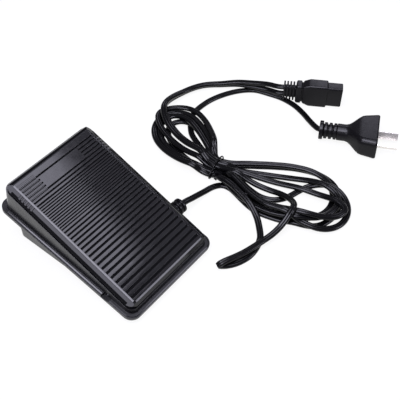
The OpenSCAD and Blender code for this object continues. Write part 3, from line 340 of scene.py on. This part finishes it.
def sweep(name, path, ring, mat):
    """Sweeps an outline along the path. Its flat side stays level."""
    along = unit(np.gradient(path, axis=0))
    side = np.c_[along[:, 1], -along[:, 0], np.zeros(len(path))]
    side[np.linalg.norm(side, axis=1) < STEEP] = np.nan
    for i in range(1, len(side)):
        if np.isnan(side[i]).any():
            side[i] = side[i - 1]
        if side[i] @ side[i - 1] < 0:
            side[i] = -side[i]
    side = np.c_[tuple(blur(side[:, k], SIDE_BLUR) for k in range(3))]
    side = unit(side - along * (side * along).sum(1)[:, None])
    up = np.cross(side, along)
    verts = [q + s * x + u * y for q, s, u in zip(path, side, up) for x, y in ring]
    return add_mesh(name, verts, tube_faces(len(path), len(ring)), mat, sharp=40)


def round_section(r, count):
    turns = [2 * math.pi * i / count for i in range(count)]
    return [(r * math.cos(a), r * math.sin(a)) for a in turns]


# Flat twin leads

LEAD_W, LEAD_T = 5.3, 3.3
LEAD_STEP = 2.0
CORE_POINTS = 10
# Height of a lead's middle where it lies on the floor
FLOOR_Z = 1.8

# Hank: a figure of eight that is tied at its waist, where its strands lie four across and three high
WAIST = np.array([109.5, -18.0])
TOP_AXIS = unit([22, 78])
LOW_AXIS = unit([30, -111])
TIE_TURN = math.radians(10)
TIE_ACROSS = np.array([math.cos(TIE_TURN), math.sin(TIE_TURN)])
TIE_AHEAD = np.array([-TIE_ACROSS[1], TIE_ACROSS[0]])
COLUMNS = 4
PACK_X, PACK_Z = 4.8, 3.2
# How far before and after the tie a strand is held straight
WAIST_HALF = 4
# Column and row of the strand that lies against the outside of the waist
FLANK = (-0.65, 0.6)

# Turns of the hank: points on each, and points left out at both ends, by the waist
LOBE_POINTS, LOBE_SKIP = 18, 3
# The higher these are, the further out a turn is widest, on its way out and on its way back
OUT_FULLNESS, BACK_FULLNESS = 2.8, 1.8
# The higher this is, the sooner a turn leaves its slot in the waist
WAIST_FADE = 1.5
CURL_POINTS = 12

# A strand lies over another where their middles are nearer than this
CROSS_REACH = 0.95 * LEAD_W
# How often the heights of the upper strand are evened out, and over how many points along it
SETTLE_ROUNDS = 5
SETTLE_BLUR, LAST_BLUR = 3.5, 2.0
# How far evening out may lower a strand into the one below it, and into the floor
CROSS_SINK, FLOOR_SINK = 0.3, 0.1
# Left and right of these places the leads keep the heights of their routes
HANK_X = (60, 160)
# Points at each end of a cord whose heights aren't evened out
END_POINTS = 4

# Routes outside the hank
GLAND = [[36.6, -24.8, 10], [55.8, -24.8, 10]]
PEDAL_ROUTE = [[62, -25.1, 9.2], [66.4, -25.6, 7.8], [74.9, -26, 5.2], [83, -26.6, 2.8], [89.4, -27.5, 1.8],
               [94.7, -29.9, 1.8], [98, -33.5, 1.8], [99, -40, 1.8], [97.5, -47, 1.8], [95, -56, 1.8],
               [93, -66, 1.8], [93.5, -76, 1.8]]
LOOP_OUT = [[97.5, -29, 5], [97, -37, 5.2], [95.5, -48, 5.2], [93.5, -58, 4.6], [90.5, -67, 3],
            [86, -75.5, 1.8], [80, -82.5, 1.8], [73, -88.5, 1.8], [64, -91.5, 1.8], [54, -92, 1.8],
            [44, -89, 1.8], [37.5, -84.9, 1.8], [34.3, -82.3, 1.9], [32.5, -80.9, 2.6], [31.8, -80.4, 4.5]]
LOOP_BACK = [[32.6, -80.9, 6.5], [34.4, -81.8, 7.1], [38, -83.4, 6.6], [46, -86.4, 5.7], [54, -89, 5.3],
             [62, -91, 5.3], [70, -92.8, 5.4], [79, -95, 5], [88, -96.5, 3.4], [96, -97, 2.2],
             [104, -96, 2.4], [111, -92, 6], [115.5, -85, 8], [117, -76, 9], [115.5, -66, 9], [113, -54, 9],
             [111, -42, 9]]
CONNECTOR_A = [[111, 4, 9], [112.5, 17, 9], [115.5, 31, 9], [121, 46, 9], [130.5, 58, 8.5], [141, 63, 7],
               [155, 64, 5.4], [169.5, 61, 5.4], [183, 54, 5.4], [194.5, 42, 5.6], [201.5, 31.5, 8.2],
               [207, 19, 10.4], [212, 5, 13], [213.74, -6.47, 15], [215.8, -9.9, 15]]
CONNECTOR_B = [[215.8, -9.9, 8], [213.74, -6.47, 8], [212, 5, 6.8], [207.5, 19, 6], [202.5, 32, 4.6],
               [196, 44, 1.8], [185, 56, 1.8], [171.7, 63, 1.8], [157, 66, 1.8], [143, 65, 3],
               [132.5, 59.5, 4.6], [124, 46, 6], [119, 31, 7], [116.5, 16, 7], [115, 3, 8]]
CURL_IN = [[110, -40, 2], [107.5, -53, 2], [107, -64, 2], [110.5, -73.5, 2], [118, -80, 2]]
CURL_OUT = [[99.5, -86, 2], [97.5, -75, 2], [98, -63, 4], [100.5, -51, 5], [104, -38, 5]]
PLUG_ROUTE = [[118, 3, 4], [122, 12, 5], [128, 24, 6], [137, 33, 7], [143, 37.5, 5.8], [151, 40, 3.4],
              [161, 40.5, 1.8], [173, 39, 1.8], [187, 34, 1.8], [200, 26, 1.8], [209, 16, 1.8], [213, 3, 1.8],
              [215.5, -10, 1.8], [214.5, -24, 1.8], [210.4, -35.8, 2], [204, -46.4, 4.2], [199, -54.6, 6.6],
              [196.7, -60, 7.9], [197.4, -63.3, 8.15]]


def twin_section():
    """Outline across the lead: two round cores side by side, with a groove between them."""
    r = LEAD_T / 2
    off = LEAD_W / 2 - r
    meet = math.acos(-off / r)
    turns = np.linspace(-meet, meet, CORE_POINTS)[:-1]
    return [(side * (off + r * math.cos(a)), side * r * math.sin(a)) for side in (1, -1) for a in turns]


def slot_at(column, row):
    """Place of one strand in the tied waist."""
    x, y = WAIST + TIE_ACROSS * (column - (COLUMNS - 1) / 2) * PACK_X
    return np.array([x, y, FLOOR_Z + row * PACK_Z])


def pass_waist(column, row, down):
    """Two points just before and after the tie."""
    p = slot_at(column, row)
    ahead = np.array([*TIE_AHEAD, 0]) * WAIST_HALF * (-1 if down else 1)
    return [p - ahead, p + ahead]


def lobe(axis, length, right, left, first, last, lean=0.0):
    """One turn of the hank: out from its first slot, round the tip of the axis and back to its last slot."""
    across = np.array([axis[1], -axis[0]]) * (1 if axis[1] > 0 else -1)
    a, b = slot_at(*first), slot_at(*last)
    points = []
    for i in range(LOBE_SKIP, LOBE_POINTS - LOBE_SKIP + 1):
        turn = math.pi * i / LOBE_POINTS
        out = math.sin(turn) ** 2
        outward = turn < math.pi / 2
        near, half, power = (a, right, OUT_FULLNESS) if outward else (b, -left, BACK_FULLNESS)
        peak = math.atan(math.sqrt(power))
        belly = math.sin(turn) ** power * abs(math.cos(turn)) / (math.sin(peak) ** power * math.cos(peak))
        fade = (1 - out) ** WAIST_FADE
        xy = WAIST + axis * length * out + across * (half * belly + lean * out) + (near[:2] - WAIST) * fade
        points.append([*xy, near[2] * fade + FLOOR_Z * (1 - fade)])
    return points


def curl(u, v, radius, start, end):
    """Round turn in the low lobe about a point given along and across its axis, from one angle to another."""
    across = np.array([-LOW_AXIS[1], LOW_AXIS[0]])
    points = []
    for a in np.radians(np.linspace(start, end, CURL_POINTS + 1)):
        xy = WAIST + LOW_AXIS * (u + radius * math.cos(a)) + across * (v + radius * math.sin(a))
        points.append([*xy, FLOOR_Z])
    return points


# One stretch of a cord: its place in the order that they are laid down in, its points, and whether these
# keep their heights
Leg = namedtuple("Leg", "order points held")

CORDS = {
    "pedal_cord": [
        Leg(0, GLAND + PEDAL_ROUTE, True),
        Leg(1, lobe(LOW_AXIS, 104, 29, 31, (3, 0), (0, 0), lean=-3)[::-1][4:], False),
        Leg(1, pass_waist(3, 0, down=False), True),
        Leg(12, lobe(TOP_AXIS, 82, 23.5, 13, (3, 0), (1, 1)), False),
        Leg(12, pass_waist(1, 1, down=True), True),
        Leg(3, lobe(LOW_AXIS, 98, 25, 25, (3, 1), (1, 1))[::-1], False),
        Leg(3, pass_waist(3, 1, down=False), True),
        Leg(11, lobe(TOP_AXIS, 78, 17, 22, (3, 1), FLANK), False),
        Leg(11, pass_waist(*FLANK, down=True), True),
        Leg(8, LOOP_OUT, False),
        Leg(9, LOOP_BACK, False),
        Leg(9, pass_waist(1, 2, down=False), True),
        Leg(15, CONNECTOR_A, False),
    ],
    "mains_cord": [
        Leg(14, CONNECTOR_B, False),
        Leg(14, pass_waist(2, 2, down=True), True),
        Leg(5, lobe(LOW_AXIS, 103, 14, 28, (2, 2), (0, 1)), False),
        Leg(5, pass_waist(0, 1, down=False), True),
        Leg(10, lobe(TOP_AXIS, 73, 11, 18, (2, 1), (0, 1))[::-1], False),
        Leg(10, pass_waist(2, 1, down=True), True),
        Leg(6, lobe(LOW_AXIS, 110, 8, 19, (2, 1), (0, 0), lean=-6), False),
        Leg(6, pass_waist(0, 0, down=False), True),
        Leg(2, lobe(TOP_AXIS, 65, 12, 13, (2, 0), (0, 0))[::-1], False),
        Leg(2, pass_waist(2, 0, down=True), True),
        Leg(4, CURL_IN + curl(90, -7, 22.5, 150, -95), False),
        Leg(7, CURL_OUT, False),
        Leg(7, pass_waist(1, 0, down=False), True),
        Leg(0.5, PLUG_ROUTE, False),
    ],
}


def nearest_given(path, given):
    """Which given point each point of the path is nearest to, going forward along both."""
    picks = []
    j = 0
    for q in path:
        while j + 1 < len(given) and np.linalg.norm(given[j + 1] - q) <= np.linalg.norm(given[j] - q):
            j += 1
        picks.append(j)
    return np.array(picks)


def split_cord(name, legs):
    """Smooth path of a cord, cut back into its legs."""
    given = np.vstack([leg.points for leg in legs])
    leg_of = np.repeat(np.arange(len(legs)), [len(leg.points) for leg in legs])
    path = smooth_path(given, LEAD_STEP)
    owner = leg_of[nearest_given(path, given)]
    stretches = {}
    for k in np.unique(owner):
        points = path[owner == k]
        outside = (points[:, 0] < HANK_X[0]) | (points[:, 0] > HANK_X[1])
        stretches[name, k] = Leg(legs[k].order, points, legs[k].held | outside)
    return stretches


def drape(stretches):
    """Lays the stretches down one after the other, each over those that are already there."""
    laid = np.zeros((0, 3))
    done = {}
    for key, (_, points, held) in sorted(stretches.items(), key=lambda item: item[1].order):
        low = np.where(held, points[:, 2], FLOOR_Z)
        for i in np.flatnonzero(~held):
            gap = np.hypot(laid[:, 0] - points[i, 0], laid[:, 1] - points[i, 1])
            near = gap < CROSS_REACH
            if near.any():
                over = laid[near, 2] + LEAD_T * np.sqrt(1 - (gap[near] / CROSS_REACH) ** 2)
                low[i] = max(low[i], over.max())
        z = low.copy()
        for _ in range(SETTLE_ROUNDS):
            z = np.where(held, points[:, 2], np.maximum(blur(z, SETTLE_BLUR), low))
        z = np.where(held, points[:, 2], np.maximum(blur(z, LAST_BLUR), low - CROSS_SINK))
        done[key] = np.c_[points[:, :2], z]
        laid = np.vstack([laid, done[key]])
    return done


def lay_cords():
    """Paths of both cords, as they lie on the floor and over each other."""
    stretches = {}
    for name, legs in CORDS.items():
        stretches.update(split_cord(name, legs))
    done = drape(stretches)
    paths = {}
    for name in CORDS:
        whole = np.vstack([done[key] for key in stretches if key[0] == name])
        z = np.maximum(blur(whole[:, 2], LAST_BLUR), FLOOR_Z - FLOOR_SINK)
        z[:END_POINTS] = whole[:END_POINTS, 2]
        z[-END_POINTS:] = whole[-END_POINTS:, 2]
        paths[name] = np.c_[whole[:, :2], z]
    return paths


# Twist tie

# Wire round the waist, across and up, outside the strands
TIE_LOOP = [[-8.6, 8.4], [-5.3, 10.5], [0, 10.7], [5.3, 10.4], [9.2, 8.2], [10.7, 5.6], [10.7, 3], [9.6, 1.3],
            [4, 0.9], [-3, 0.9], [-9, 1.1], [-12.6, 2], [-13.6, 3.8], [-12.2, 6.2], [-9.2, 8]]
TIE_R = 0.65
TIE_STEP = 0.6
# How far the wire moves along the strands as it goes round them
TIE_LEAD = 0.35
# Twisted ends: where they start across and up, their direction across, ahead and up, how far from the start
# they reach, and how fast they turn
TIE_KNOT = (-9.4, 8.9)
TIE_END_WAY = (-0.62, -0.75, -0.22)
TIE_END_RUN = (0.8, 9.5)
TIE_END_POINTS = 22
TIE_TWIST = 1.5


def make_tie(mat):
    """Coated wire round the waist, its two ends twisted together."""
    loop = [[*(WAIST + TIE_ACROSS * u + TIE_AHEAD * TIE_LEAD * (k / len(TIE_LOOP) - 0.5)), z]
            for k, (u, z) in enumerate(TIE_LOOP)]
    start = np.array([*(WAIST + TIE_ACROSS * TIE_KNOT[0]), TIE_KNOT[1]])
    way = unit([*(TIE_END_WAY[0] * TIE_ACROSS + TIE_END_WAY[1] * TIE_AHEAD), TIE_END_WAY[2]])
    flat = unit(np.cross(way, [0, 0, 1]))
    rise = np.cross(flat, way)
    ends = []
    for phase in (0, math.pi):
        ends.append([start + way * t + TIE_R * (flat * math.cos(phase + t * TIE_TWIST)
                                                + rise * math.sin(phase + t * TIE_TWIST))
                     for t in np.linspace(*TIE_END_RUN, TIE_END_POINTS)])
    path = smooth_path(ends[0][::-1] + loop + ends[1], TIE_STEP)
    return sweep("twist_tie", path, round_section(TIE_R, 10), mat)


# Trim on the cover

# Edges of the cover that trim runs along: half their width, place and height at the heel, slope in degrees,
# and radius of their corners
Edge = namedtuple("Edge", "half heel heel_z slope corner_r")
RIM = Edge(half=36.8, heel=-61.55, heel_z=17.84, slope=20.2, corner_r=1.6)
LIP = Edge(half=44.2, heel=-65.2, heel_z=7.1, slope=11.7, corner_r=7.2)
CORNER_POINTS = 7

# Outlines of the trim, outwards and up from the edge, and how far it goes from the heel towards the toe
RIM_SECTION = [(-0.95, -0.35), (-0.85, 0.26), (-0.75, 0.32), (0.5, -0.13), (0.6, -0.25), (0.65, -0.7)]
RIM_TOE_Y = 49.6
LIP_SECTION = [(-0.6, -0.3), (-0.45, 0.28), (0.4, -0.25), (0.5, -0.7)]
LIP_TOE_Y = -43.8
SIDE_LIP_SECTION = [(-1.4, -0.3), (-1.3, 0.38), (-0.3, -0.06), (-0.2, -0.7)]
SIDE_LIP_Y = (-36.2, 56)
# The bevel shade strips are dark matte strips laid on the lower part of each bevel, a painted shadow where
# the bevel turns down
BEVEL_SHADE_SECTION = [(2.6, -2.15), (2.75, -2.03), (4.23, -3.16), (4.1, -3.3)]
BEVEL_SHADE_Y = (-58, 48)

# Fine ribs beside the bare plate, two on each of the cover's ribs there
TOE_EDGE = np.array([0, 49.71, 58.77])
TOE_RIB_START, TOE_RIB_PITCH, TOE_RIBS = 1.5, 2.95, 6
TOE_RIB_SPANS = ((0.05, 0.6), (1.15, 1.7))
TOE_RIB_X = (-35.4, -20.2)
TOE_RIB_H, TOE_RIB_SINK, TOE_RIB_TAPER = 0.26, 0.05, 0.08

# Grooves between the ribs: how far from the tread's plane they start and end, and half their length
GROOVE_TOP, GROOVE_FLOOR = -0.15, -1.05
GROOVE_HALF = 36.2


def upward(slope):
    """Direction that a face with this slope looks in."""
    return np.array([0, -math.sin(math.radians(slope)), math.cos(math.radians(slope))])


def edge_point(edge, x, y):
    return [x, y, edge.heel_z + (y - edge.heel) * math.tan(math.radians(edge.slope))]


def heel_path(edge, toe_y):
    """Line down the left side, round the heel and up the right side."""
    r = edge.corner_r
    corner = [(r - r * math.cos(a) - edge.half, edge.heel + r - r * math.sin(a))
              for a in np.linspace(0, math.pi / 2, CORNER_POINTS)]
    left = [(-edge.half, toe_y)] + corner
    right = [(-x, y) for x, y in left[::-1]]
    return [edge_point(edge, x, y) for x, y in left + right]


def side_path(edge, side, ends):
    """Straight line along one side, toe to heel on the left and back on the right."""
    return [edge_point(edge, side * edge.half, y) for y in ends][::side]


def put_on_cover(obj):
    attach(obj, "treadle")


def make_bead(name, path, slope, outline, mat):
    """Strip with the given outline along an edge of the cover."""
    up = upward(slope)
    step = unit(np.diff(path, axis=0))
    along = unit(np.vstack([step[:1], step[:-1] + step[1:], step[-1:]]))
    verts = [q + np.cross(d, up) * x + up * y for q, d in zip(np.array(path), along) for x, y in outline]
    put_on_cover(add_mesh(name, verts, tube_faces(len(path), len(outline)), mat, sharp=20))


def make_toe_ribs(mat):
    up = upward(RIM.slope)
    down = np.array([0, -up[2], up[1]])
    verts, faces = [], []
    for i in range(TOE_RIBS):
        for span in TOE_RIB_SPANS:
            first, last = (TOE_RIB_START + TOE_RIB_PITCH * i + s for s in span)
            outline = ((first, -TOE_RIB_SINK), (first + TOE_RIB_TAPER, TOE_RIB_H),
                       (last - TOE_RIB_TAPER, TOE_RIB_H), (last, -TOE_RIB_SINK))
            faces += tube_faces(len(TOE_RIB_X), len(outline), first=len(verts))
            verts += [TOE_EDGE + [x, 0, 0] + down * s + up * h for x in TOE_RIB_X for s, h in outline]
    put_on_cover(add_mesh("toe_ribs", verts, faces, mat))


def paint_groove_shade(obj, mat):
    """Paints shade into the grooves between the ribs: a darker, duller and less reflective material of their
    own.
    """
    group = mesh_group("paint_groove_shade")
    n = Nodes(group)
    source = n.add("NodeGroupInput")
    heel = (0.0, RIM.heel * MM, RIM.heel_z * MM)
    place = n.vector("SUBTRACT", n.add("GeometryNodeInputPosition").outputs[0], heel)[0]
    rise = n.vector("DOT_PRODUCT", place, upward(RIM.slope))["Value"]
    across = n.math("ABSOLUTE", n.add("ShaderNodeSeparateXYZ", {0: place}).outputs[0])
    inside = n.math("MULTIPLY", n.math("LESS_THAN", rise, GROOVE_TOP * MM),
                    n.math("GREATER_THAN", rise, GROOVE_FLOOR * MM))
    inside = n.math("MULTIPLY", inside, n.math("LESS_THAN", across, GROOVE_HALF * MM))
    shaded = n.add("GeometryNodeSetMaterial",
                   {"Geometry": source.outputs[0], "Selection": inside, "Material": mat})
    n.add("NodeGroupOutput", {0: shaded.outputs[0]})
    obj.modifiers.new("grooves", "NODES").node_group = group


# Return springs

SPRING_D, SPRING_WIRE, SPRING_TURNS = 10.0, 1.2, 8
SPRING_TURN_POINTS = 20


def make_springs(mat):
    """Coil springs at both sides of the return springs' box, in their place."""
    low, high = (np.array(corner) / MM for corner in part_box("return_springs"))
    r = (SPRING_D - SPRING_WIRE) / 2
    turn = np.linspace(0, 2 * math.pi * SPRING_TURNS, SPRING_TURN_POINTS * SPRING_TURNS)
    z = np.linspace(low[2] + SPRING_WIRE / 2, high[2] - SPRING_WIRE / 2, len(turn))
    y = (low[1] + high[1]) / 2
    for word, x in (("left", low[0] + SPRING_D / 2), ("right", high[0] - SPRING_D / 2)):
        path = np.c_[x + r * np.cos(turn), y + r * np.sin(turn), z]
        coil = sweep(f"spring_{word}", path, round_section(SPRING_WIRE / 2, 8), mat)
        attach(coil, "base")
        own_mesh(coil)
        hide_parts("return_springs")


# Floor, sky and lamps

FLOOR_HALF = 6000
# Share of the floor's own white in what the camera and the reflections see
FLOOR_GLOW = 0.9

# Light of the sky on the part
SKY_COLOUR = (0.9, 0.88, 1.0, 1.0)
SKY_STRENGTH = 0.22

# Each lamp's place, the point that it faces and its size, in metres, and its power in watts
LAMP_COLOUR = (0.86, 0.85, 1.0)
LAMPS = {
    "overhead": ((0.19, -0.06, 1.1), (0.19, -0.06, 0.0), (0.58, 0.44), 5.0),
    "fill": ((0.8, -0.06, 1.1), (0.8, -0.06, 0.0), (0.62, 0.6), 0.62),
    "strip": ((-0.39, -0.06, 1.1), (-0.39, -0.06, 0.0), (0.48, 0.8), 15.2),
    "left": ((-0.99, 0.0, 0.79), (-0.04, 0.0, 0.03), (0.5, 0.5), 3.6),
    "front": ((0.51, -0.985, 0.57), (0.0, -0.05, 0.03), (0.38, 0.38), 3.8),
    "back": ((1.15, 0.45, 0.82), (0.2, 0.0, 0.0), (0.35, 0.35), 1.2),
}


def make_floor():
    """White table, bright to the camera and in reflections, that keeps the part's shadow."""
    mat = bpy.data.materials.new("white_table")
    mat.use_nodes = True
    n = Nodes(mat.node_tree)
    ray = n.add("ShaderNodeLightPath")
    seen = n.math("ADD", ray.outputs["Is Camera Ray"], ray.outputs["Is Glossy Ray"])
    seen = n.math("ADD", seen, ray.outputs["Is Transmission Ray"])
    seen = n.math("MINIMUM", n.math("MULTIPLY", seen, FLOOR_GLOW), FLOOR_GLOW)
    cloud = n.add("ShaderNodeTexNoise", {"Scale": 3.0, "Detail": 2.0})
    paper = n.add("ShaderNodeBsdfDiffuse", {"Color": n.mix(cloud.outputs[0], grey(0.86), grey(0.9))})
    glow = n.add("ShaderNodeEmission", {"Color": grey(1.0), "Strength": 1.0})
    mixed = n.add("ShaderNodeMixShader", {0: seen, 1: paper.outputs[0], 2: glow.outputs[0]})
    n.add("ShaderNodeOutputMaterial", {"Surface": mixed.outputs[0]})
    s = FLOOR_HALF
    add_mesh("floor", [(-s, -s, 0), (s, -s, 0), (s, s, 0), (-s, s, 0)], [(0, 1, 2, 3)], mat)


def make_sky():
    """Dim cool sky, which the camera sees as white."""
    world = bpy.data.worlds.new("sky")
    bpy.context.scene.world = world
    world.use_nodes = True
    n = Nodes(world.node_tree)
    glow = n.add("ShaderNodeBackground", {"Color": SKY_COLOUR, "Strength": SKY_STRENGTH})
    back = n.add("ShaderNodeBackground", {"Color": grey(1.0), "Strength": 1.0})
    seen = n.add("ShaderNodeLightPath").outputs["Is Camera Ray"]
    mixed = n.add("ShaderNodeMixShader", {0: seen, 1: glow.outputs[0], 2: back.outputs[0]})
    n.add("ShaderNodeOutputWorld", {"Surface": mixed.outputs[0]})


def add_lamp(name, place, aim, size, power):
    data = bpy.data.lights.new(name, "AREA")
    data.shape = "RECTANGLE"
    data.size, data.size_y = size
    data.energy = power
    data.color = LAMP_COLOUR
    lamp = bpy.data.objects.new(name, data)
    bpy.context.scene.collection.objects.link(lamp)
    lamp.location = place
    lamp.rotation_euler = (Vector(place) - Vector(aim)).to_track_quat("Z", "Y").to_euler()


# The scene

set_camera()
mats = {name: finish_material(name, **finish) for name, finish in FINISHES.items()}
for finish, names in DRESSED.items():
    for name in names:
        dress(nodes[name], mats[finish])
for name, width in SOFT_EDGES.items():
    soften(nodes[name], width)
# Painted shade in the grooves between the ribs
paint_groove_shade(nodes["treadle_cover"], mats["painted_shade_abs"])

paths = lay_cords()
pedal_cord, mains_cord = (sweep(name, paths[name], twin_section(), mats["lead_pvc"]) for name in CORDS)
twist_tie = make_tie(mats["lead_pvc"])
for obj in (pedal_cord, mains_cord, twist_tie):
    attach(obj, "base")
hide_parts("hank_tie")
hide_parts("pedal_lead", "loose_loop", "connector_lead_a", "cord_hank")
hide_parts("connector_lead_b", "plug_lead")

make_bead("rim_bead", heel_path(RIM, RIM_TOE_Y), RIM.slope, RIM_SECTION, mats["black_abs"])
make_toe_ribs(mats["black_abs"])
make_bead("lip_bead", heel_path(LIP, LIP_TOE_Y), LIP.slope, LIP_SECTION, mats["black_abs"])
for side, word in ((-1, "left"), (1, "right")):
    make_bead(f"lip_bead_{word}", side_path(LIP, side, SIDE_LIP_Y), LIP.slope, SIDE_LIP_SECTION,
              mats["black_abs"])
    # Dark strips that paint the shadow along the bevel's lower edge
    make_bead(f"bevel_shade_{word}", side_path(RIM, side, BEVEL_SHADE_Y), RIM.slope, BEVEL_SHADE_SECTION,
              mats["painted_shade_abs"])
make_springs(mats["steel"])

make_floor()
make_sky()
for name, lamp in LAMPS.items():
    add_lamp(name, *lamp)
bpy.context.scene.view_settings.view_transform = "Standard"
